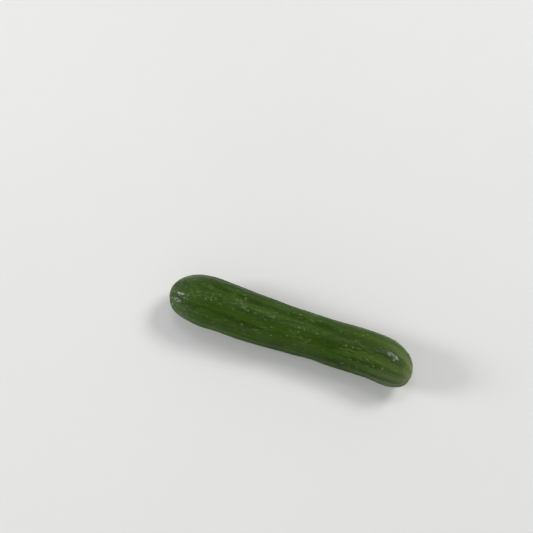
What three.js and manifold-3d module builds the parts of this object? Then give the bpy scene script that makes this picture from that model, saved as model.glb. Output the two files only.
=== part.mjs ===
// A slicing cucumber as picked, lying on its side on a small flat spot.
// Millimetres. +X runs from the stem end to the blossom end and +Z is up. The origin is on the surface that the
// cucumber lies on, under the middle of its box.

import * as THREE from 'three';
import { mergeVertices } from 'three/addons/utils/BufferGeometryUtils.js';
import Module from 'manifold-3d';

const wasm = await Module();
wasm.setup();

// The body: its length, and at each station the distance from the stem end, the mean radius of the section and how
// far the middle of the section bows sideways
const LENGTH = 240;
const STATIONS = [
  { at: 0, radius: 24.0, bow: -0.3 },
  { at: 42, radius: 24.6, bow: 1.5 },
  { at: 85, radius: 23.1, bow: 1.0 },
  { at: 120, radius: 21.9, bow: 2.3 },
  { at: 160, radius: 21.2, bow: 3.4 },
  { at: 205, radius: 22.2, bow: 3.7 },
  { at: 240, radius: 22.2, bow: -1.8 },
];

// The two round ends: how far each reaches along the body, and the two powers of its rounding
const STEM_END_REACH = 44;
const BLOSSOM_END_REACH = 34;
const END_FULLNESS = 2.2;
const END_BLUNTNESS = 0.42;

// The underside lies lowest under the weight and rises towards both ends
const WEIGHT_AT = 112;
const END_RISE = 3;
const FLAT_SPOT_DEPTH = 0.35;

// The section is slightly three-cornered, with one corner up, and has soft lengthwise ribs that twist a little
const CORNERS = 3;
const CORNER_HEIGHT = 0.3;
const RIBS = 10;
const RIB_HEIGHT = 0.3;
const RIB_HEIGHT_AT_ENDS = 0.42;
const RIB_END_REACH = 30;
const RIB_SHIFT = 0.3;
const RIB_UNEVENNESS = 0.16;
const RIB_TWIST_PER_MM = 0.0009;
const SWELLING_HEIGHT = 0.28;
const SWELLING_LENGTH = 74;

// The round scar where the stem was cut, and the smaller one where the flower was
const STEM_SCAR = { radius: 4.4, depth: 0.9, rim: 0.4, stub: 0.8, stubRadius: 2.1, edge: 1.5 };
const BLOSSOM_SCAR = { radius: 2.6, depth: 0.5, rim: 0.25, stub: 0.35, stubRadius: 1.2, edge: 1.2 };

// The warts: low oval domes in loose rows on the ribs
const WARTS = 112;
const WART_SEED = 7;
const WART_LENGTH = 2.8;
const WART_WIDTH = 2.3;
const WART_HEIGHT = 0.5;
const WART_ROOT = 0.85;
const WART_SIZE_SPREAD = 0.3;
const WART_CLEAR_OF_ENDS = 13;
const WART_CROWDING_AT_ENDS = 0.5;

// How finely the skin is divided: round the body, along it, and how much closer the rings stand at the ends
const SIDES = 60;
const RINGS = 50;
const RING_CROWDING = 0.76;
const PROFILE_STEPS = 3000;

const CUCUMBER_GREEN = 0x34491b;

function stationValue(key, at) {
  const last = STATIONS.length - 1;
  let index = 0;
  while (index < last - 1 && at > STATIONS[index + 1].at) {
    index += 1;
  }
  const from = STATIONS[index];
  const to = STATIONS[index + 1];
  const before = STATIONS[Math.max(index - 1, 0)];
  const after = STATIONS[Math.min(index + 2, last)];
  const span = to.at - from.at;
  const startSlope = ((to[key] - before[key]) / (to.at - before.at)) * span;
  const endSlope = ((after[key] - from[key]) / (after.at - from.at)) * span;
  const x = (at - from.at) / span;
  const rise = to[key] - from[key];
  const bend = 3 * rise - 2 * startSlope - endSlope;
  const twist = startSlope + endSlope - 2 * rise;
  return from[key] + startSlope * x + bend * x * x + twist * x * x * x;
}

function endRounding(distance, reach) {
  const inward = Math.min(Math.max(distance / reach, 0), 1);
  return (1 - (1 - inward) ** END_FULLNESS) ** END_BLUNTNESS;
}

function smoothRadius(at) {
  const rounding = endRounding(at, STEM_END_REACH) * endRounding(LENGTH - at, BLOSSOM_END_REACH);
  return stationValue('radius', at) * rounding;
}

function middleHeight(at) {
  const away = (at - WEIGHT_AT) / (LENGTH / 2);
  return stationValue('radius', at) + END_RISE * away * away;
}

// The outline of half a lengthwise cut, from the stem end to the blossom end, with the distance along the skin
function skinProfile() {
  const points = [];
  let travelled = 0;
  for (let step = 0; step <= PROFILE_STEPS; step += 1) {
    const at = (LENGTH * (1 - Math.cos((Math.PI * step) / PROFILE_STEPS))) / 2;
    const radius = smoothRadius(at);
    const previous = points[points.length - 1];
    if (previous) {
      travelled += Math.hypot(at - previous.at, radius - previous.radius);
    }
    points.push({ at, radius, travelled });
  }
  return points;
}

const PROFILE = skinProfile();
const SKIN_LENGTH = PROFILE[PROFILE_STEPS].travelled;

// The place and outward direction of the smooth skin at a distance along it
function skinAt(travelled) {
  let low = 0;
  let high = PROFILE_STEPS;
  while (high - low > 1) {
    const middle = (low + high) >> 1;
    if (PROFILE[middle].travelled <= travelled) {
      low = middle;
    } else {
      high = middle;
    }
  }
  const from = PROFILE[low];
  const to = PROFILE[high];
  const share = (travelled - from.travelled) / (to.travelled - from.travelled);
  const along = to.at - from.at;
  const out = to.radius - from.radius;
  const length = Math.hypot(along, out);
  return {
    at: from.at + along * share,
    radius: from.radius + out * share,
    outAlong: -out / length,
    outAcross: along / length,
  };
}

function scarRelief(scar, distance) {
  const { smoothstep } = THREE.MathUtils;
  const inside = 1 - smoothstep(distance, scar.radius - scar.edge, scar.radius);
  const onStub = 1 - smoothstep(distance, scar.stubRadius - scar.edge / 2, scar.stubRadius + scar.edge / 2);
  const fromRim = (distance - scar.radius - scar.edge / 2) / scar.edge;
  return scar.stub * onStub - scar.depth * inside + scar.rim * Math.exp(-fromRim * fromRim);
}

// How far the skin stands out from the smooth body
function relief(travelled, at, angle) {
  const { smoothstep } = THREE.MathUtils;
  const fromStem = travelled;
  const fromBlossom = SKIN_LENGTH - travelled;
  const fromEnd = Math.min(fromStem, fromBlossom);
  const nearEnd = 1 - smoothstep(fromEnd, RIB_END_REACH / 2, RIB_END_REACH);
  const clearOfScar = smoothstep(fromEnd, STEM_SCAR.radius, STEM_SCAR.radius * 3);
  const uneven = RIB_UNEVENNESS * Math.sin(2 * angle + 1);
  const ribAngle = RIBS * (angle + RIB_SHIFT + uneven + RIB_TWIST_PER_MM * at);
  const ribHeight = RIB_HEIGHT + (RIB_HEIGHT_AT_ENDS - RIB_HEIGHT) * nearEnd;
  const ribs = ribHeight * Math.cos(ribAngle);
  const corners = CORNER_HEIGHT * Math.cos(CORNERS * (angle - Math.PI / 2));
  const swelling = SWELLING_HEIGHT * Math.sin((2 * Math.PI * at) / SWELLING_LENGTH + Math.sin(angle) * 2);
  const body = (ribs + corners + swelling) * clearOfScar;
  return body + scarRelief(STEM_SCAR, fromStem) + scarRelief(BLOSSOM_SCAR, fromBlossom);
}

// A point of the skin, lifted from the smooth body along its outward direction
function skinPoint(travelled, angle, lift) {
  const { at, radius, outAlong, outAcross } = skinAt(travelled);
  const across = radius + outAcross * lift;
  return new THREE.Vector3(
    at + outAlong * lift - LENGTH / 2,
    stationValue('bow', at) + across * Math.cos(angle),
    middleHeight(at) + across * Math.sin(angle),
  );
}

function solidFrom(geometry) {
  const plain = geometry.clone();
  plain.deleteAttribute('normal');
  plain.deleteAttribute('uv');
  const merged = mergeVertices(plain);
  const mesh = new wasm.Mesh({
    numProp: 3,
    vertProperties: new Float32Array(merged.attributes.position.array),
    triVerts: new Uint32Array(merged.index.array),
  });
  return new wasm.Manifold(mesh);
}

// A ball whose rings are carried out to the body's skin, its first pole to the stem end
function bodyGeometry() {
  const ball = new THREE.SphereGeometry(1, SIDES, RINGS);
  ball.rotateZ(Math.PI / 2);
  const place = ball.attributes.position;
  for (let index = 0; index < place.count; index += 1) {
    const share = Math.acos(THREE.MathUtils.clamp(-place.getX(index), -1, 1)) / Math.PI;
    const crowded = share - (RING_CROWDING * Math.sin(2 * Math.PI * share)) / (2 * Math.PI);
    const travelled = THREE.MathUtils.clamp(crowded, 0, 1) * SKIN_LENGTH;
    const angle = Math.atan2(place.getZ(index), place.getY(index));
    const lift = relief(travelled, skinAt(travelled).at, angle);
    const point = skinPoint(travelled, angle, lift);
    place.setXYZ(index, point.x, point.y, point.z);
  }
  return ball;
}

function seededDraw(seed) {
  let state = seed;
  return () => {
    state = (state + 0x6d2b79f5) | 0;
    let mixed = Math.imul(state ^ (state >>> 15), 1 | state);
    mixed = (mixed + Math.imul(mixed ^ (mixed >>> 7), 61 | mixed)) ^ mixed;
    return ((mixed ^ (mixed >>> 14)) >>> 0) / 4294967296;
  };
}

// The warts' places: spread evenly along the skin, closer together towards the ends, each on a rib or close to one
function wartPlaces() {
  const draw = seededDraw(WART_SEED);
  const places = [];
  const skin = SKIN_LENGTH - 2 * WART_CLEAR_OF_ENDS;
  for (let index = 0; index < WARTS; index += 1) {
    const share = (index + draw()) / WARTS;
    const crowded = share - (WART_CROWDING_AT_ENDS * Math.sin(2 * Math.PI * share)) / (2 * Math.PI);
    const rib = Math.floor(draw() * RIBS);
    const offRib = (draw() - 0.5) * 0.7;
    const angle = (2 * Math.PI * (rib + offRib)) / RIBS - RIB_SHIFT;
    const size = 1 + (draw() - 0.5) * 2 * WART_SIZE_SPREAD;
    places.push({ travelled: WART_CLEAR_OF_ENDS + crowded * skin, angle, size });
  }
  return places;
}

// One wart, with its root sunk in the skin
function wartGeometry({ travelled, angle, size }) {
  const halfHeight = ((WART_HEIGHT + WART_ROOT) * size) / 2;
  const wart = new THREE.IcosahedronGeometry(1, 0);
  wart.scale((WART_LENGTH * size) / 2, (WART_WIDTH * size) / 2, halfHeight);
  const { at, outAlong, outAcross } = skinAt(travelled);
  const lift = relief(travelled, at, angle) + WART_HEIGHT * size - halfHeight;
  const outward = new THREE.Vector3(outAlong, outAcross * Math.cos(angle), outAcross * Math.sin(angle));
  const around = new THREE.Vector3(0, -Math.sin(angle), Math.cos(angle));
  const along = new THREE.Vector3().crossVectors(around, outward);
  wart.applyMatrix4(new THREE.Matrix4().makeBasis(along, around, outward));
  const centre = skinPoint(travelled, angle, lift);
  return wart.translate(centre.x, centre.y, centre.z);
}

// What lies under the surface that the cucumber rests on
function belowSurface() {
  const side = 2 * LENGTH;
  const block = new THREE.BoxGeometry(side, side, side);
  return solidFrom(block.translate(0, 0, FLAT_SPOT_DEPTH - side / 2));
}

function cucumberGeometry() {
  let solid = solidFrom(bodyGeometry());
  for (const place of wartPlaces()) {
    solid = solid.add(solidFrom(wartGeometry(place)));
  }
  const { vertProperties, triVerts } = solid.subtract(belowSurface()).getMesh();
  const geometry = new THREE.BufferGeometry();
  geometry.setAttribute('position', new THREE.BufferAttribute(vertProperties, 3));
  geometry.setIndex(new THREE.BufferAttribute(triVerts, 1));
  geometry.computeVertexNormals();
  geometry.computeBoundingBox();
  const { min, max } = geometry.boundingBox;
  return geometry.translate(-(min.x + max.x) / 2, -(min.y + max.y) / 2, -min.z);
}

const skin = new THREE.MeshStandardMaterial({ color: CUCUMBER_GREEN, roughness: 0.42, metalness: 0 });
const cucumber = new THREE.Mesh(cucumberGeometry(), skin);
cucumber.name = 'cucumber';

const model = new THREE.Group();
model.add(cucumber);

export default model;
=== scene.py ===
import math

import bpy
import numpy as np
from mathutils import Matrix, Vector


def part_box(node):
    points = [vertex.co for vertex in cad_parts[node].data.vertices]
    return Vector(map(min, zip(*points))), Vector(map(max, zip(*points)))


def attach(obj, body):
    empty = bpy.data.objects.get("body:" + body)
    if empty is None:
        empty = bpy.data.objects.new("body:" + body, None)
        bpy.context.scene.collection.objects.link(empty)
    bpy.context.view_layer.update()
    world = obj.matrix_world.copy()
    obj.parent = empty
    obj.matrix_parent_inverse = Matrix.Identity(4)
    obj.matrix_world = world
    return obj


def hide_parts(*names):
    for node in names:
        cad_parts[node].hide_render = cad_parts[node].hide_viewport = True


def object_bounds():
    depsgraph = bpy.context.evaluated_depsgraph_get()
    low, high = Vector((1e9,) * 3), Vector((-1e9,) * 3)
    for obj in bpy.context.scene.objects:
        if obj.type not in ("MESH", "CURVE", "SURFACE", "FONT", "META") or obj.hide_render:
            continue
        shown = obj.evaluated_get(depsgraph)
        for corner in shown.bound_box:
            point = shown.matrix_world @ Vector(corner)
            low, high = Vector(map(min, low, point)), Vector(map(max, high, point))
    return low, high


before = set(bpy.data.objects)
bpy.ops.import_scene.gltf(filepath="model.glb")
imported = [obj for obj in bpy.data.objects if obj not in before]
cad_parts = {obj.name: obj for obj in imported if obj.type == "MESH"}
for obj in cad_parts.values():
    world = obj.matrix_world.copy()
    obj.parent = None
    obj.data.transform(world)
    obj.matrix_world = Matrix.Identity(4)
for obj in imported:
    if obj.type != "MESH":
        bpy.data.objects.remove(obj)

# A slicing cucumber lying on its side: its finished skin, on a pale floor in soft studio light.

cad_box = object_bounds()

NODE = "cucumber"
MM = 0.001

# The body, in millimetres: each station's distance from the stem end, its mean radius and its sideways bow
LENGTH = 240.0
STATION_AT = np.array([0, 42, 85, 120, 160, 205, 240], float)
STATION_RADIUS = np.array([24.0, 24.6, 23.1, 21.9, 21.2, 22.2, 22.2])
STATION_BOW = np.array([-0.3, 1.5, 1.0, 2.3, 3.4, 3.7, -1.8])
STEM_END_REACH = 44
BLOSSOM_END_REACH = 34
END_FULLNESS = 2.2
END_BLUNTNESS = 0.42
WEIGHT_AT = 112
END_RISE = 3
FLAT_SPOT_DEPTH = 0.35

# The section's corners, the ribs and the slow swellings
CORNERS = 3
CORNER_HEIGHT = 0.3
RIBS = 10
RIB_HEIGHT = 0.3
RIB_HEIGHT_AT_ENDS = 0.42
RIB_END_REACH = 30
RIB_SHIFT = 0.3
RIB_UNEVENNESS = 0.16
RIB_TWIST_PER_MM = 0.0009
SWELLING_HEIGHT = 0.28
SWELLING_LENGTH = 74

# The two scars
STEM_SCAR = {"radius": 4.4, "depth": 0.9, "rim": 0.4, "stub": 0.8, "stub_radius": 2.1, "edge": 1.5}
BLOSSOM_SCAR = {"radius": 2.6, "depth": 0.5, "rim": 0.25, "stub": 0.35, "stub_radius": 1.2, "edge": 1.2}

# The warts, drawn by the same rule as in the part's source
WARTS = 112
WART_SEED = 7
WART_LENGTH = 2.8
WART_WIDTH = 2.3
WART_HEIGHT = 0.5
WART_SIZE_SPREAD = 0.3
WART_CLEAR_OF_ENDS = 13
WART_OFF_RIB = 0.7
WART_CROWDING_AT_ENDS = 0.5

# The fine mesh, and how softly the skin turns into the flat spot
SIDES = 244
RINGS = 384
RING_CROWDING = 0.2
PROFILE_STEPS = 6000
FLAT_SPOT_SOFTNESS = 0.12

# The fine relief, in millimetres, with its waves counted in millimetres along the skin and in turns round it
FINE_SEED = 23
PIMPLES = 420
PIMPLE_LENGTH = 2.4
PIMPLE_WIDTH = 1.9
PIMPLE_HEIGHT = 0.16
PIMPLE_SIZES = (0.6, 1.3)
PIMPLES_CLEAR_OF_ENDS = 8
SWELLS = {"height": 0.16, "count": 14, "along": (24, 60), "around": (1, 6)}
FURROWS = {"height": 0.05, "count": 24, "along": (40, 160), "around": (18, 44)}
PEBBLES = {"height": 0.05, "count": 80, "along": (4, 16), "around": (10, 52)}
CORK = {"height": 0.07, "count": 16, "along": (1.6, 4), "around": (3, 14)}
OPEN_SKIN_REACH = (5, 16)
PEBBLY_REACH = (10, 50)
PEBBLES_AT_STEM = 0.4
CORK_REACH = (3, 6.5)


def smoothstep(value, low, high):
    share = np.clip((value - low) / (high - low), 0, 1)
    return share * share * (3 - 2 * share)


def station_value(values, at):
    last = len(STATION_AT) - 1
    index = np.clip(np.searchsorted(STATION_AT, at, "right") - 1, 0, last - 1)
    before = np.maximum(index - 1, 0)
    after = np.minimum(index + 2, last)
    span = STATION_AT[index + 1] - STATION_AT[index]
    rise = values[index + 1] - values[index]
    start = (values[index + 1] - values[before]) / (STATION_AT[index + 1] - STATION_AT[before]) * span
    end = (values[after] - values[index]) / (STATION_AT[after] - STATION_AT[index]) * span
    x = (at - STATION_AT[index]) / span
    bend = 3 * rise - 2 * start - end
    twist = start + end - 2 * rise
    return values[index] + start * x + bend * x * x + twist * x * x * x


def end_rounding(distance, reach):
    inward = np.clip(distance / reach, 0, 1)
    return (1 - (1 - inward) ** END_FULLNESS) ** END_BLUNTNESS


def smooth_radius(at):
    rounding = end_rounding(at, STEM_END_REACH) * end_rounding(LENGTH - at, BLOSSOM_END_REACH)
    return station_value(STATION_RADIUS, at) * rounding


def middle_height(at):
    away = (at - WEIGHT_AT) / (LENGTH / 2)
    return station_value(STATION_RADIUS, at) + END_RISE * away * away


class Profile:
    """Half a lengthwise cut of the smooth body, read by the distance along the skin from the stem end."""

    def __init__(self):
        turn = np.linspace(0, math.pi, PROFILE_STEPS + 1)
        self.at = LENGTH * (1 - np.cos(turn)) / 2
        self.radius = smooth_radius(self.at)
        along, out = np.diff(self.at), np.diff(self.radius)
        step = np.hypot(along, out)
        self.travelled = np.concatenate([[0], np.cumsum(step)])
        self.middle = (self.travelled[1:] + self.travelled[:-1]) / 2
        self.out_along, self.out_across = -out / step, along / step
        self.length = self.travelled[-1]

    def read(self, travelled):
        return (
            np.interp(travelled, self.travelled, self.at),
            np.interp(travelled, self.travelled, self.radius),
            np.interp(travelled, self.middle, self.out_along),
            np.interp(travelled, self.middle, self.out_across),
        )


PROFILE = Profile()


def scar_relief(scar, distance):
    inside = 1 - smoothstep(distance, scar["radius"] - scar["edge"], scar["radius"])
    low, high = scar["stub_radius"] - scar["edge"] / 2, scar["stub_radius"] + scar["edge"] / 2
    on_stub = 1 - smoothstep(distance, low, high)
    from_rim = (distance - scar["radius"] - scar["edge"] / 2) / scar["edge"]
    return scar["stub"] * on_stub - scar["depth"] * inside + scar["rim"] * np.exp(-from_rim * from_rim)


def rib_wave(at, angle):
    uneven = RIB_UNEVENNESS * np.sin(2 * angle + 1)
    return np.cos(RIBS * (angle + RIB_SHIFT + uneven + RIB_TWIST_PER_MM * at))


def main_relief(travelled, at, angle):
    """The relief that the part's own source has too."""
    from_end = np.minimum(travelled, PROFILE.length - travelled)
    near_end = 1 - smoothstep(from_end, RIB_END_REACH / 2, RIB_END_REACH)
    clear_of_scar = smoothstep(from_end, STEM_SCAR["radius"], STEM_SCAR["radius"] * 3)
    rib_height = RIB_HEIGHT + (RIB_HEIGHT_AT_ENDS - RIB_HEIGHT) * near_end
    ribs = rib_height * rib_wave(at, angle)
    corners = CORNER_HEIGHT * np.cos(CORNERS * (angle - math.pi / 2))
    swelling = SWELLING_HEIGHT * np.sin(2 * math.pi * at / SWELLING_LENGTH + np.sin(angle) * 2)
    body = (ribs + corners + swelling) * clear_of_scar
    return body + scar_relief(STEM_SCAR, travelled) + scar_relief(BLOSSOM_SCAR, PROFILE.length - travelled)


def seeded_draw(seed):
    """The same even random draw as in the part's source."""
    state = seed
    bits = 2**32 - 1
    while True:
        state = (state + 0x6D2B79F5) & bits
        mixed = ((state ^ (state >> 15)) * (1 | state)) & bits
        mixed = (((mixed + (((mixed ^ (mixed >> 7)) * (61 | mixed)) & bits)) & bits) ^ mixed) & bits
        yield ((mixed ^ (mixed >> 14)) & bits) / 2**32


def wart_places():
    """(distance along the skin, angle, size) of each wart, in the order of the part's source."""
    draw = seeded_draw(WART_SEED)
    skin = PROFILE.length - 2 * WART_CLEAR_OF_ENDS
    for index in range(WARTS):
        share = (index + next(draw)) / WARTS
        crowded = share - WART_CROWDING_AT_ENDS * math.sin(2 * math.pi * share) / (2 * math.pi)
        rib = math.floor(next(draw) * RIBS)
        off_rib = (next(draw) - 0.5) * WART_OFF_RIB
        angle = 2 * math.pi * (rib + off_rib) / RIBS - RIB_SHIFT
        size = 1 + (next(draw) - 0.5) * 2 * WART_SIZE_SPREAD
        yield WART_CLEAR_OF_ENDS + crowded * skin, angle, size


def add_domes(height, mask, grid, places, length, width, rise):
    """Raises a low oval dome at each place, and marks its top in the mask."""
    travelled, angle, radius = grid
    for where, turn, size in places:
        along = (travelled - where) / (length * size / 2)
        near = np.abs(along[:, 0]) < 1
        if not near.any():
            continue
        turned = np.angle(np.exp(1j * (angle[near] - turn)))
        across = turned * radius[near] / (width * size / 2)
        inside = np.clip(1 - along[near] ** 2 - across**2, 0, 1)
        height[near] += rise * size * inside**1.5
        mask[near] = np.maximum(mask[near], inside**2)


def ripples(draw, travelled, angle, waves):
    """A seeded sum of waves, each running an odd way over the skin."""
    total = np.zeros_like(travelled)
    for _ in range(waves["count"]):
        wave = draw.uniform(*waves["along"])
        turns = draw.integers(*waves["around"]) * draw.choice((-1, 1))
        total += np.cos(2 * math.pi * travelled / wave + turns * angle + draw.uniform(0, 2 * math.pi))
    return waves["height"] * total / math.sqrt(waves["count"] / 2)


def skin_grid():
    share = np.linspace(0, 1, RINGS + 1)[1:-1]
    crowded = share - RING_CROWDING * np.sin(2 * math.pi * share) / (2 * math.pi)
    angle = np.arange(SIDES) * 2 * math.pi / SIDES
    return np.meshgrid(crowded * PROFILE.length, angle, indexing="ij")


def pimple_places(draw):
    far_end = PROFILE.length - PIMPLES_CLEAR_OF_ENDS
    return np.column_stack([
        draw.uniform(PIMPLES_CLEAR_OF_ENDS, far_end, PIMPLES),
        draw.uniform(0, 2 * math.pi, PIMPLES),
        draw.uniform(*PIMPLE_SIZES, PIMPLES),
    ])


def fine_relief(travelled, at, radius, angle):
    """(height of the skin over the smooth body, mask of the warts' tops, mask of the pimples' tops)."""
    draw = np.random.default_rng(FINE_SEED)
    height = main_relief(travelled, at, angle)
    warts, pimples = np.zeros_like(height), np.zeros_like(height)
    grid = (travelled, angle, radius)
    add_domes(height, warts, grid, wart_places(), WART_LENGTH, WART_WIDTH, WART_HEIGHT)
    add_domes(height, pimples, grid, pimple_places(draw), PIMPLE_LENGTH, PIMPLE_WIDTH, PIMPLE_HEIGHT)
    from_end = np.minimum(travelled, PROFILE.length - travelled)
    open_skin = smoothstep(from_end, *OPEN_SKIN_REACH)
    pebbly = PEBBLES_AT_STEM + (1 - PEBBLES_AT_STEM) * smoothstep(travelled, *PEBBLY_REACH)
    corky = 1 - smoothstep(from_end, *CORK_REACH)
    height += open_skin * ripples(draw, travelled, angle, SWELLS)
    height += open_skin * ripples(draw, travelled, angle, FURROWS)
    height += open_skin * pebbly * ripples(draw, travelled, angle, PEBBLES)
    height += corky * ripples(draw, travelled, angle, CORK)
    return height, warts, pimples


def mesh_from(name, rings, first_pole, last_pole):
    """A closed mesh of rings of points between two poles, with smooth shading."""
    count, sides = rings.shape[:2]
    points = np.concatenate([rings.reshape(-1, 3), [first_pole, last_pole]])
    here = np.arange(count * sides).reshape(count, sides)
    beside = np.roll(here, -1, axis=1)
    quads = np.stack([here[:-1], beside[:-1], beside[1:], here[1:]], axis=-1).reshape(-1, 4)
    start = np.full(sides, count * sides)
    first_fan = np.stack([start, beside[0], here[0]], axis=-1)
    last_fan = np.stack([start + 1, here[-1], beside[-1]], axis=-1)
    mesh = bpy.data.meshes.new(name)
    mesh.from_pydata(points.tolist(), [], quads.tolist() + first_fan.tolist() + last_fan.tolist())
    mesh.polygons.foreach_set("use_smooth", np.ones(len(mesh.polygons), bool))
    mesh.update()
    return mesh


def write_map(mesh, travelled, angle):
    """An even map of the skin: round the body one way and along it the other, with its seam underneath."""
    count, sides = travelled.shape
    along = np.concatenate([(travelled / PROFILE.length).ravel(), [0, 1]])
    turn = np.mod(angle + math.pi / 2, 2 * math.pi) / (2 * math.pi)
    around = np.concatenate([turn.ravel(), [0.5, 0.5]])
    loops = np.empty(len(mesh.loops), np.int32)
    mesh.loops.foreach_get("vertex_index", loops)
    starts = np.empty(len(mesh.polygons), np.int32)
    mesh.polygons.foreach_get("loop_start", starts)
    face_of = np.searchsorted(starts, np.arange(len(loops)), "right") - 1
    u, v = around[loops], along[loops]
    # A face that crosses the seam has its low side moved one turn on, and a pole takes the middle of its face
    highest = np.maximum.reduceat(np.where(loops < count * sides, u, 0), starts)[face_of]
    u = np.where((highest > 0.75) & (u < 0.25), u + 1, u)
    on_pole = loops >= count * sides
    total = np.add.reduceat(np.where(on_pole, 0, u), starts)[face_of]
    u = np.where(on_pole, total / 2, u)
    layer = mesh.uv_layers.new(name="OFBake")
    layer.data.foreach_set("uv", np.column_stack([u, v]).astype(np.float32).ravel())


def write_numbers(mesh, name, values):
    layer = mesh.attributes.new(name, "FLOAT", "POINT")
    layer.data.foreach_set("value", np.asarray(values, np.float32).ravel())


def write_vectors(mesh, name, values):
    layer = mesh.attributes.new(name, "FLOAT_VECTOR", "POINT")
    layer.data.foreach_set("vector", np.asarray(values, np.float32).ravel())


def skin_points(travelled, at, radius, out_along, out_across, angle, height):
    across = radius + out_across * height
    x = at + out_along * height - LENGTH / 2
    y = station_value(STATION_BOW, at) + across * np.cos(angle)
    z = middle_height(at) + across * np.sin(angle) - FLAT_SPOT_DEPTH
    lifted = FLAT_SPOT_SOFTNESS * np.logaddexp(0, z / FLAT_SPOT_SOFTNESS)
    return np.stack([x, y, lifted], axis=-1)


def make_cucumber():
    travelled, angle = skin_grid()
    at, radius, out_along, out_across = PROFILE.read(travelled)
    height, warts, pimples = fine_relief(travelled, at, radius, angle)
    rings = skin_points(travelled, at, radius, out_along, out_across, angle, height)
    poles = []
    for end in (0.0, PROFILE.length):
        x, r, along, across = PROFILE.read(end)
        lift = main_relief(np.array(end), x, 0.0)
        poles.append(skin_points(end, x, r, along, across, 0.0, lift))
    middle = (rings.reshape(-1, 3).min(0) + rings.reshape(-1, 3).max(0)) / 2
    low, high = (np.array(corner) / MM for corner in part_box(NODE))
    move = (low + high) / 2 - middle
    move[2] = 0
    mesh = mesh_from("cucumber_skin", (rings + move) * MM, (poles[0] + move) * MM, (poles[1] + move) * MM)
    write_map(mesh, travelled, angle)
    ends = [0.0, PROFILE.length]
    write_numbers(mesh, "from_stem", np.append(travelled.ravel(), ends))
    write_numbers(mesh, "from_blossom", np.append((PROFILE.length - travelled).ravel(), ends[::-1]))
    write_numbers(mesh, "rib", np.append(rib_wave(at, angle).ravel(), [0, 0]))
    write_numbers(mesh, "wart", np.append(warts.ravel(), [0, 0]))
    write_numbers(mesh, "pimple", np.append(pimples.ravel(), [0, 0]))
    place = np.stack([travelled, radius * np.cos(angle), radius * np.sin(angle)], axis=-1).reshape(-1, 3)
    write_vectors(mesh, "skin_place", np.concatenate([place, [[0, 0, 0], [PROFILE.length, 0, 0]]]))
    piece = bpy.data.objects.new("cucumber_skin", mesh)
    bpy.context.scene.collection.objects.link(piece)
    return piece


class Recipe:
    """The nodes of one material. Each call adds a node and returns its output."""

    def __init__(self, name):
        self.material = bpy.data.materials.new(name)
        self.material.use_nodes = True
        self.nodes = self.material.node_tree.nodes
        self.links = self.material.node_tree.links
        self.shader = self.nodes["Principled BSDF"]

    def put(self, socket, value):
        if isinstance(value, bpy.types.NodeSocket):
            self.links.new(value, socket)
        elif socket.type == "RGBA" and len(value) == 3:
            socket.default_value = (*value, 1)
        else:
            socket.default_value = value

    def node(self, kind, inputs, **settings):
        made = self.nodes.new(kind)
        for key, value in settings.items():
            setattr(made, key, value)
        for key, value in inputs.items():
            self.put(made.inputs[key], value)
        return made

    def attribute(self, name, output="Fac"):
        return self.node("ShaderNodeAttribute", {}, attribute_name=name).outputs[output]

    def maths(self, operation, *values):
        return self.node("ShaderNodeMath", dict(enumerate(values)), operation=operation).outputs[0]

    def times(self, first, second):
        return self.maths("MULTIPLY", first, second)

    def plus(self, first, second):
        return self.maths("ADD", first, second)

    def all_but(self, share):
        return self.maths("SUBTRACT", 1.0, share)

    def squeezed(self, place, squeeze):
        """The place squeezed along the body, which draws out what is laid over it."""
        inputs = {0: place, 1: (squeeze, 1, 1)}
        return self.node("ShaderNodeVectorMath", inputs, operation="MULTIPLY").outputs[0]

    def noise(self, place, size, detail=3.0, roughness=0.5):
        """Soft noise from 0 to 1, in patches of about this size."""
        inputs = {"Vector": place, "Scale": 1 / size, "Detail": detail, "Roughness": roughness}
        return self.node("ShaderNodeTexNoise", inputs).outputs["Fac"]

    def cells(self, place, size, feature="F1", output="Distance"):
        inputs = {"Vector": place, "Scale": 1 / size}
        return self.node("ShaderNodeTexVoronoi", inputs, feature=feature).outputs[output]

    def between(self, value, low, high, start=0.0, end=1.0):
        """A smooth step from start to end as the value goes from low to high."""
        inputs = {"Value": value, "From Min": low, "From Max": high, "To Min": start, "To Max": end}
        return self.node("ShaderNodeMapRange", inputs, interpolation_type="SMOOTHSTEP").outputs["Result"]

    def blend(self, share, first, second):
        """The first colour turning into the second as the share goes from 0 to 1."""
        made = self.nodes.new("ShaderNodeMix")
        made.data_type = "RGBA"
        self.put(made.inputs[0], share)
        self.put(made.inputs[6], first)
        self.put(made.inputs[7], second)
        return made.outputs[2]

    def bump(self, height, depth):
        inputs = {"Height": height, "Distance": depth, "Strength": 1.0}
        return self.node("ShaderNodeBump", inputs).outputs["Normal"]

    def set(self, **values):
        for key, value in values.items():
            self.put(self.shader.inputs[key.replace("_", " ")], value)


# The skin's colours
DEEP_GREEN = (0.018, 0.043, 0.003)
LEAF_GREEN = (0.036, 0.078, 0.006)
STREAK_GREEN = (0.068, 0.118, 0.014)
BLOSSOM_GREEN = (0.135, 0.195, 0.040)
TIP_GREEN = (0.20, 0.25, 0.085)
FLECK = (0.28, 0.31, 0.13)
SCUFF_GREEN = (0.19, 0.235, 0.075)
WART_GREEN = (0.075, 0.125, 0.018)
WART_TIP = (0.28, 0.31, 0.15)
SCAR_TAN = (0.26, 0.19, 0.09)
SCAR_DARK = (0.085, 0.06, 0.028)
SCAR_PITH = (0.30, 0.25, 0.12)

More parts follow.
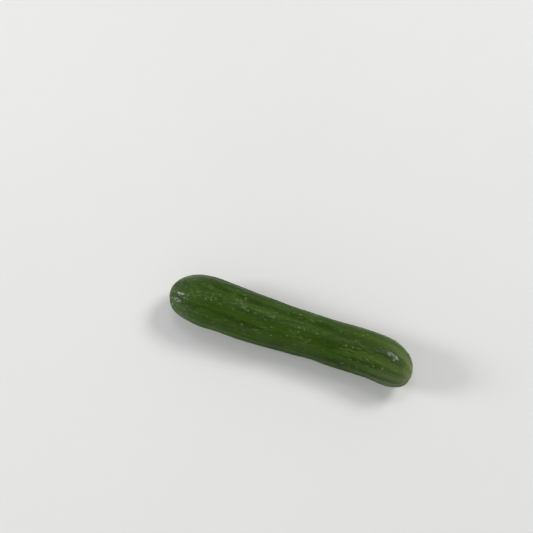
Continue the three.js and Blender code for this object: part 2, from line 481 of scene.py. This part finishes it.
# Where the skin's marks start and stop, in millimetres along the skin from an end
PALE_END = (4, 46)
STRIPED_END = (10, 95)
PALE_TIP = (12, 30)
PALE_TIP_FRAYED = 14
CORKY_NECK = (5, 17)
STEM_SCAR_EDGE = (3.6, 5.4)
STEM_SCAR_RING = (4.2, 5.0, 6.2)
STEM_PITH = (1.2, 2.4)
BLOSSOM_SCAR_EDGE = (2.0, 3.6)

# The skin's marks: a squeeze draws them out along the body, a size is in millimetres, an edge cuts the noise
BROAD_STREAKS = {"squeeze": 0.05, "size": 6.5, "detail": 2, "edge": (0.35, 0.68)}
NARROW_STREAKS = {"squeeze": 0.09, "size": 1.7}
STREAK_EDGE = (0.52, 0.78)
STRIPE_EDGE = (0.2, 0.9)
RIBS_IN_STRIPES = -0.5
CORK_EDGE = (0.46, 0.66)
MOTTLES = {"squeeze": 0.6, "size": 10, "detail": 4, "roughness": 0.6}
MOTTLE_EDGE = (0.42, 0.75)
STREAKED_MOTTLE_EDGE = (0.3, 0.6)
FLECKS = {"squeeze": 0.4, "size": 2.2, "edge": (0.1, 0.24), "picked": (0.5, 0.6)}
FLECK_ROWS = {"squeeze": 0.12, "size": 4, "detail": 2, "edge": (0.45, 0.62)}
SCUFFS = {"squeeze": 0.17, "size": 1.0, "edge": (0.55, 0.66)}
SCUFF_PATCHES = {"squeeze": 0.4, "size": 9, "detail": 2, "edge": (0.44, 0.6)}
DOTS = {"squeeze": 0.7, "size": 1.5, "edge": (0.1, 0.2), "picked": (0.45, 0.55)}
WART_EDGE = (0.05, 0.6)
WART_TIP_EDGE = (0.6, 0.95)
FIBRES = {"size": 0.9, "detail": 4, "roughness": 0.65}
FIBRE_EDGE = (0.35, 0.65)
PITH_EDGE = (0.3, 0.6)
GRAIN = {"size": 0.7, "detail": 2}
SOFT_EDGE = (0.3, 0.7)

# How strongly each mark colours the skin
MOTTLES_SHOW = 0.55
STREAKS_SHOW = 0.6
STRIPES_SHOW = 0.38
PALE_END_SHOWS = 0.3
PALE_TIP_SHOWS = 0.6
FLECKS_SHOW = 0.7
SCUFFS_SHOW = 0.38
DOTS_SHOW = 0.45
PIMPLES_SHOW = 0.4
WARTS_SHOW = 0.7
WART_TIPS_SHOW = 0.5
CORK_SHOWS = 0.5
PITH_SHOWS = (0.3, 0.9)
SCAR_RING_SHOWS = 0.6
GRAIN_SHADES = (0.86, 1.14)

# The finest relief, as bump: its marks, how far each rises, and the depth of all in the skin and in the wax
SMALL_PEBBLES = {"squeeze": 0.6, "size": 1.5, "rise": 0.9}
KNOBS = {"squeeze": 0.8, "size": 2.9, "rise": 1.5}
LINES = {"squeeze": 0.12, "size": 1.1, "detail": 2}
LINES_RISE = 0.3
SPECKS = {"size": 0.5, "detail": 2}
SPECKS_RISE = 0.25
SKIN_BUMP_DEPTH = 0.16
WAX_BUMP_DEPTH = 0.08

# The wax: thickest near both ends and thinned where the skin turns away, with places in millimetres
WAX_WEIGHTS = (0.16, 0.34)
WAX_PATCHES = {"squeeze": 0.5, "size": 12}
WAX_PATCH_EDGE = (0.35, 0.65)
WAX_AT_ENDS = 0.7
WAXY_STEM_END = {"starts": (8, 18), "at_tip": 0.2, "fades": (24, 50)}
WAXY_BLOSSOM_END = {"starts": (6, 18), "at_tip": 0.3, "fades": (20, 64)}
WAX_THINNING = 0.8
WAX_ROUGHNESS = 0.24
WAX_IOR = 1.45

# The skin under the wax
ROUGHNESS_PATCHES = {"size": 14}
SKIN_ROUGHNESS = (0.34, 0.5)
SCAR_ROUGHNESS = 0.8
SKIN_IOR = 1.4
SKIN_SPECULAR = 0.04


class SkinRecipe(Recipe):
    """The nodes of the skin, with what the mesh says about each point of it."""

    def __init__(self):
        super().__init__("cucumber_skin")
        self.place = self.attribute("skin_place", "Vector")
        self.from_stem = self.attribute("from_stem")
        self.from_blossom = self.attribute("from_blossom")
        self.narrow = self.patches(**NARROW_STREAKS)
        on_stem_scar = self.near(self.from_stem, STEM_SCAR_EDGE)
        on_blossom_scar = self.near(self.from_blossom, BLOSSOM_SCAR_EDGE)
        self.scar = self.maths("MAXIMUM", on_stem_scar, on_blossom_scar)

    def near(self, distance, reach):
        """1 up to where the reach starts, fading to 0 where it stops."""
        return self.between(distance, *reach, 1, 0)

    def patches(self, size, squeeze=1, detail=3, roughness=0.5, edge=None):
        """Noise in patches of this size, drawn out along the body, and cut where it has an edge."""
        noise = self.noise(self.squeezed(self.place, squeeze), size, detail, roughness)
        return noise if edge is None else self.between(noise, *edge)

    def spots(self, size, squeeze, edge, picked):
        """A small oval spot in the middle of each picked cell."""
        place = self.squeezed(self.place, squeeze)
        spot = self.near(self.cells(place, size), edge)
        return self.times(spot, self.between(self.cells(place, size, output="Color"), *picked))

    def domes(self, size, squeeze, rise):
        """Soft cells that are highest in their middles."""
        from_middle = self.cells(self.squeezed(self.place, squeeze), size, "SMOOTH_F1")
        return self.times(from_middle, -rise)

    def paint(self, colour, over, share, strength):
        """The skin so far with this colour over it, as far as the share and the strength say."""
        return self.blend(self.times(share, strength), over, colour)


def green_streaks(skin):
    mottle = skin.patches(**MOTTLES)
    colour = skin.blend(skin.patches(**BROAD_STREAKS), DEEP_GREEN, LEAF_GREEN)
    colour = skin.paint(LEAF_GREEN, colour, skin.between(mottle, *MOTTLE_EDGE), MOTTLES_SHOW)
    streak = skin.between(skin.narrow, *STREAK_EDGE)
    streak = skin.times(streak, skin.between(mottle, *STREAKED_MOTTLE_EDGE))
    return skin.paint(STREAK_GREEN, colour, streak, STREAKS_SHOW)


def pale_blossom_end(skin, colour):
    off_rib = skin.plus(skin.times(skin.attribute("rib"), RIBS_IN_STRIPES), skin.narrow)
    stripe = skin.times(skin.between(off_rib, *STRIPE_EDGE), skin.near(skin.from_blossom, STRIPED_END))
    colour = skin.paint(BLOSSOM_GREEN, colour, stripe, STRIPES_SHOW)
    colour = skin.paint(BLOSSOM_GREEN, colour, skin.near(skin.from_blossom, PALE_END), PALE_END_SHOWS)
    frayed = skin.plus(skin.from_blossom, skin.times(skin.narrow, PALE_TIP_FRAYED))
    return skin.paint(TIP_GREEN, colour, skin.near(frayed, PALE_TIP), PALE_TIP_SHOWS)


def flecks_and_scuffs(skin, colour):
    flecks = skin.times(skin.spots(**FLECKS), skin.patches(**FLECK_ROWS))
    colour = skin.paint(FLECK, colour, flecks, FLECKS_SHOW)
    scuffs = skin.times(skin.patches(**SCUFFS), skin.patches(**SCUFF_PATCHES))
    colour = skin.paint(SCUFF_GREEN, colour, scuffs, SCUFFS_SHOW)
    return skin.paint(SCUFF_GREEN, colour, skin.spots(**DOTS), DOTS_SHOW)


def pimples_and_warts(skin, colour):
    wart = skin.attribute("wart")
    colour = skin.paint(STREAK_GREEN, colour, skin.attribute("pimple"), PIMPLES_SHOW)
    colour = skin.paint(WART_GREEN, colour, skin.between(wart, *WART_EDGE), WARTS_SHOW)
    return skin.paint(WART_TIP, colour, skin.between(wart, *WART_TIP_EDGE), WART_TIPS_SHOW)


def corky_neck(skin, colour):
    corky = skin.times(skin.near(skin.from_stem, CORKY_NECK), skin.between(skin.narrow, *CORK_EDGE))
    return skin.paint(FLECK, colour, corky, CORK_SHOWS)


def scars(skin, colour):
    fibre = skin.patches(**FIBRES)
    cork = skin.blend(skin.between(fibre, *FIBRE_EDGE), SCAR_DARK, SCAR_TAN)
    pith = skin.times(skin.near(skin.from_stem, STEM_PITH), skin.between(fibre, *PITH_EDGE, *PITH_SHOWS))
    cork = skin.blend(pith, cork, SCAR_PITH)
    colour = skin.blend(skin.scar, colour, cork)
    inner, crest, outer = STEM_SCAR_RING
    ring = skin.times(skin.between(skin.from_stem, inner, crest), skin.near(skin.from_stem, (crest, outer)))
    return skin.paint(SCAR_DARK, colour, ring, SCAR_RING_SHOWS)


def grained(skin, colour):
    grain = skin.between(skin.patches(**GRAIN), *SOFT_EDGE, *GRAIN_SHADES)
    return skin.node("ShaderNodeVectorMath", {0: colour, "Scale": grain}, operation="SCALE").outputs[0]


def finest_relief(skin):
    height = skin.plus(skin.domes(**SMALL_PEBBLES), skin.times(skin.patches(**LINES), LINES_RISE))
    height = skin.plus(height, skin.times(skin.patches(**SPECKS), SPECKS_RISE))
    return skin.plus(height, skin.domes(**KNOBS))


def waxy_end(skin, from_end, starts, at_tip, fades):
    return skin.times(skin.between(from_end, *starts, at_tip, 1), skin.near(from_end, fades))


def wax(skin):
    stem_end = waxy_end(skin, skin.from_stem, **WAXY_STEM_END)
    blossom_end = waxy_end(skin, skin.from_blossom, **WAXY_BLOSSOM_END)
    at_ends = skin.times(skin.maths("MAXIMUM", stem_end, blossom_end), WAX_AT_ENDS)
    weight = skin.plus(skin.between(skin.patches(**WAX_PATCHES), *WAX_PATCH_EDGE, *WAX_WEIGHTS), at_ends)
    weight = skin.times(weight, skin.all_but(skin.scar))
    slant = skin.node("ShaderNodeLayerWeight", {"Blend": 0.5}).outputs["Facing"]
    return skin.times(weight, skin.all_but(skin.times(slant, WAX_THINNING)))


def skin_roughness(skin):
    rough = skin.between(skin.patches(**ROUGHNESS_PATCHES), *SOFT_EDGE, *SKIN_ROUGHNESS)
    return skin.maths("MAXIMUM", rough, skin.times(skin.scar, SCAR_ROUGHNESS))


def skin_material():
    skin = SkinRecipe()
    colour = green_streaks(skin)
    colour = pale_blossom_end(skin, colour)
    colour = flecks_and_scuffs(skin, colour)
    colour = pimples_and_warts(skin, colour)
    colour = corky_neck(skin, colour)
    colour = scars(skin, colour)
    colour = grained(skin, colour)
    height = finest_relief(skin)
    skin.set(Base_Color=colour, Roughness=skin_roughness(skin), IOR=SKIN_IOR)
    skin.set(Specular_IOR_Level=SKIN_SPECULAR, Normal=skin.bump(height, SKIN_BUMP_DEPTH * MM))
    skin.set(Coat_Weight=wax(skin), Coat_Roughness=WAX_ROUGHNESS, Coat_IOR=WAX_IOR)
    skin.set(Coat_Normal=skin.bump(height, WAX_BUMP_DEPTH * MM))
    return skin.material


# The floor, in metres: its flat part, the low wall round it and the glow that keeps its far parts pale
FLOOR_FLAT = 2.2
FLOOR_RISE = 1.4
FLOOR_BENDS = 14
FLOOR_SIDES = 96
FLOOR_SHADES = ((0.77, 0.765, 0.75), (0.82, 0.815, 0.80))
FLOOR_CLOUDS = 0.4
FLOOR_GLOW_TINT = (0.95, 0.97, 1.0)
FLOOR_GLOW_REACH = (1.2, 3.2)
FLOOR_GLOW = 0.16


def floor_material():
    floor = Recipe("pale_floor")
    place = floor.node("ShaderNodeTexCoord", {}).outputs["Object"]
    colour = floor.blend(floor.noise(place, FLOOR_CLOUDS), *FLOOR_SHADES)
    floor.set(Base_Color=colour, Roughness=1.0, Specular_IOR_Level=0.05)
    from_middle = floor.node("ShaderNodeVectorMath", {0: place}, operation="LENGTH").outputs["Value"]
    glow = floor.between(from_middle, *FLOOR_GLOW_REACH, 0, FLOOR_GLOW)
    floor.set(Emission_Color=FLOOR_GLOW_TINT, Emission_Strength=glow)
    return floor.material


def floor_outline():
    """(distance from the middle, height) of each ring of the floor."""
    outline = [(FLOOR_FLAT / 2, 0.0), (FLOOR_FLAT, 0.0)]
    for step in range(1, FLOOR_BENDS + 1):
        turn = math.pi / 2 * step / FLOOR_BENDS
        outline.append((FLOOR_FLAT + FLOOR_RISE * math.sin(turn), FLOOR_RISE * (1 - math.cos(turn))))
    return outline


def make_floor():
    """A level round floor that curves up into a low wall all round, well outside the picture."""
    outline = floor_outline()
    points = [(0.0, 0.0, 0.0)]
    for radius, z in outline:
        for side in range(FLOOR_SIDES):
            turn = 2 * math.pi * side / FLOOR_SIDES
            points.append((radius * math.cos(turn), radius * math.sin(turn), z))
    faces = [(0, 1 + side, 1 + (side + 1) % FLOOR_SIDES) for side in range(FLOOR_SIDES)]
    for ring in range(len(outline) - 1):
        start = 1 + ring * FLOOR_SIDES
        after = start + FLOOR_SIDES
        for side in range(FLOOR_SIDES):
            beside = (side + 1) % FLOOR_SIDES
            faces.append((start + side, after + side, after + beside, start + beside))
    mesh = bpy.data.meshes.new("floor")
    mesh.from_pydata(points, [], faces)
    mesh.polygons.foreach_set("use_smooth", [True] * len(faces))
    mesh.materials.append(floor_material())
    floor = bpy.data.objects.new("floor", mesh)
    bpy.context.scene.collection.objects.link(floor)


# The camera: it looks down steeply, with the stem end to the left and the blossom end lower on the right
AZIMUTH = math.radians(19.3)
ELEVATION = math.radians(75)
LENS = 70
SENSOR = 36
FRAME_PIXELS = 533
METRES_PER_PIXEL = 0.945 * MM
CUCUMBER_PIXEL = (291, 330)

PICTURE_RIGHT = Vector((math.cos(AZIMUTH), math.sin(AZIMUTH), 0))
GROUND_UP = Vector((-math.sin(AZIMUTH), math.cos(AZIMUTH), 0))
BACK = -GROUND_UP * math.cos(ELEVATION) + Vector((0, 0, math.sin(ELEVATION)))
PICTURE_UP = BACK.cross(PICTURE_RIGHT)


def make_camera(centre):
    distance = FRAME_PIXELS * METRES_PER_PIXEL * LENS / SENSOR
    aside = (CUCUMBER_PIXEL[0] - FRAME_PIXELS / 2) * METRES_PER_PIXEL
    below = (CUCUMBER_PIXEL[1] - FRAME_PIXELS / 2) * METRES_PER_PIXEL
    data = bpy.data.cameras.new("camera")
    data.lens, data.sensor_width = LENS, SENSOR
    camera = bpy.data.objects.new("camera", data)
    bpy.context.scene.collection.objects.link(camera)
    axes = Matrix((PICTURE_RIGHT, PICTURE_UP, BACK)).transposed()
    place = centre + BACK * distance - PICTURE_RIGHT * aside + PICTURE_UP * below
    camera.matrix_world = Matrix.Translation(place) @ axes.to_4x4()
    bpy.context.scene.camera = camera


# The lights: the way to each is right and up in the picture and height, then size in metres and watts
LIGHT_DISTANCE = 3.0
LIGHTS = {
    "key": {"towards": (0.57, 0.42, 0.8), "size": (1.0, 0.84), "power": 38, "tint": (1.0, 0.99, 0.96)},
    "left": {"towards": (-1.8, 0.12, 0.95), "size": (0.84, 0.84), "power": 42, "tint": (1.0, 1.0, 1.0)},
    "top": {"towards": (-0.1, 0.65, 1.6), "size": (1.0, 0.5), "power": 10.4, "tint": (1.0, 1.0, 1.0)},
}
ROOM_LIGHT = (0.92, 0.95, 1.0)
ROOM_LIGHT_STRENGTH = 0.33


def add_light(name, centre, towards, size, power, tint):
    """A soft rectangular light that faces the cucumber."""
    right, up, height = towards
    away = (PICTURE_RIGHT * right + GROUND_UP * up + Vector((0, 0, height))).normalized()
    data = bpy.data.lights.new(name, "AREA")
    data.shape = "RECTANGLE"
    data.size, data.size_y = size
    data.energy = power
    data.color = tint
    light = bpy.data.objects.new(name, data)
    bpy.context.scene.collection.objects.link(light)
    light.location = centre + away * LIGHT_DISTANCE
    light.rotation_euler = away.to_track_quat("Z", "Y").to_euler()


def light_studio(centre):
    for name, light in LIGHTS.items():
        add_light(name, centre, **light)
    world = bpy.data.worlds.new("studio")
    bpy.context.scene.world = world
    world.use_nodes = True
    background = world.node_tree.nodes["Background"]
    background.inputs["Color"].default_value = (*ROOM_LIGHT, 1)
    background.inputs["Strength"].default_value = ROOM_LIGHT_STRENGTH
    bpy.context.scene.view_settings.view_transform = "Standard"


cucumber = make_cucumber()
cucumber.data.materials.append(skin_material())
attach(cucumber, "root")
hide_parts(NODE)

make_floor()
middle = (cad_box[0] + cad_box[1]) / 2
make_camera(middle)
light_studio(middle)
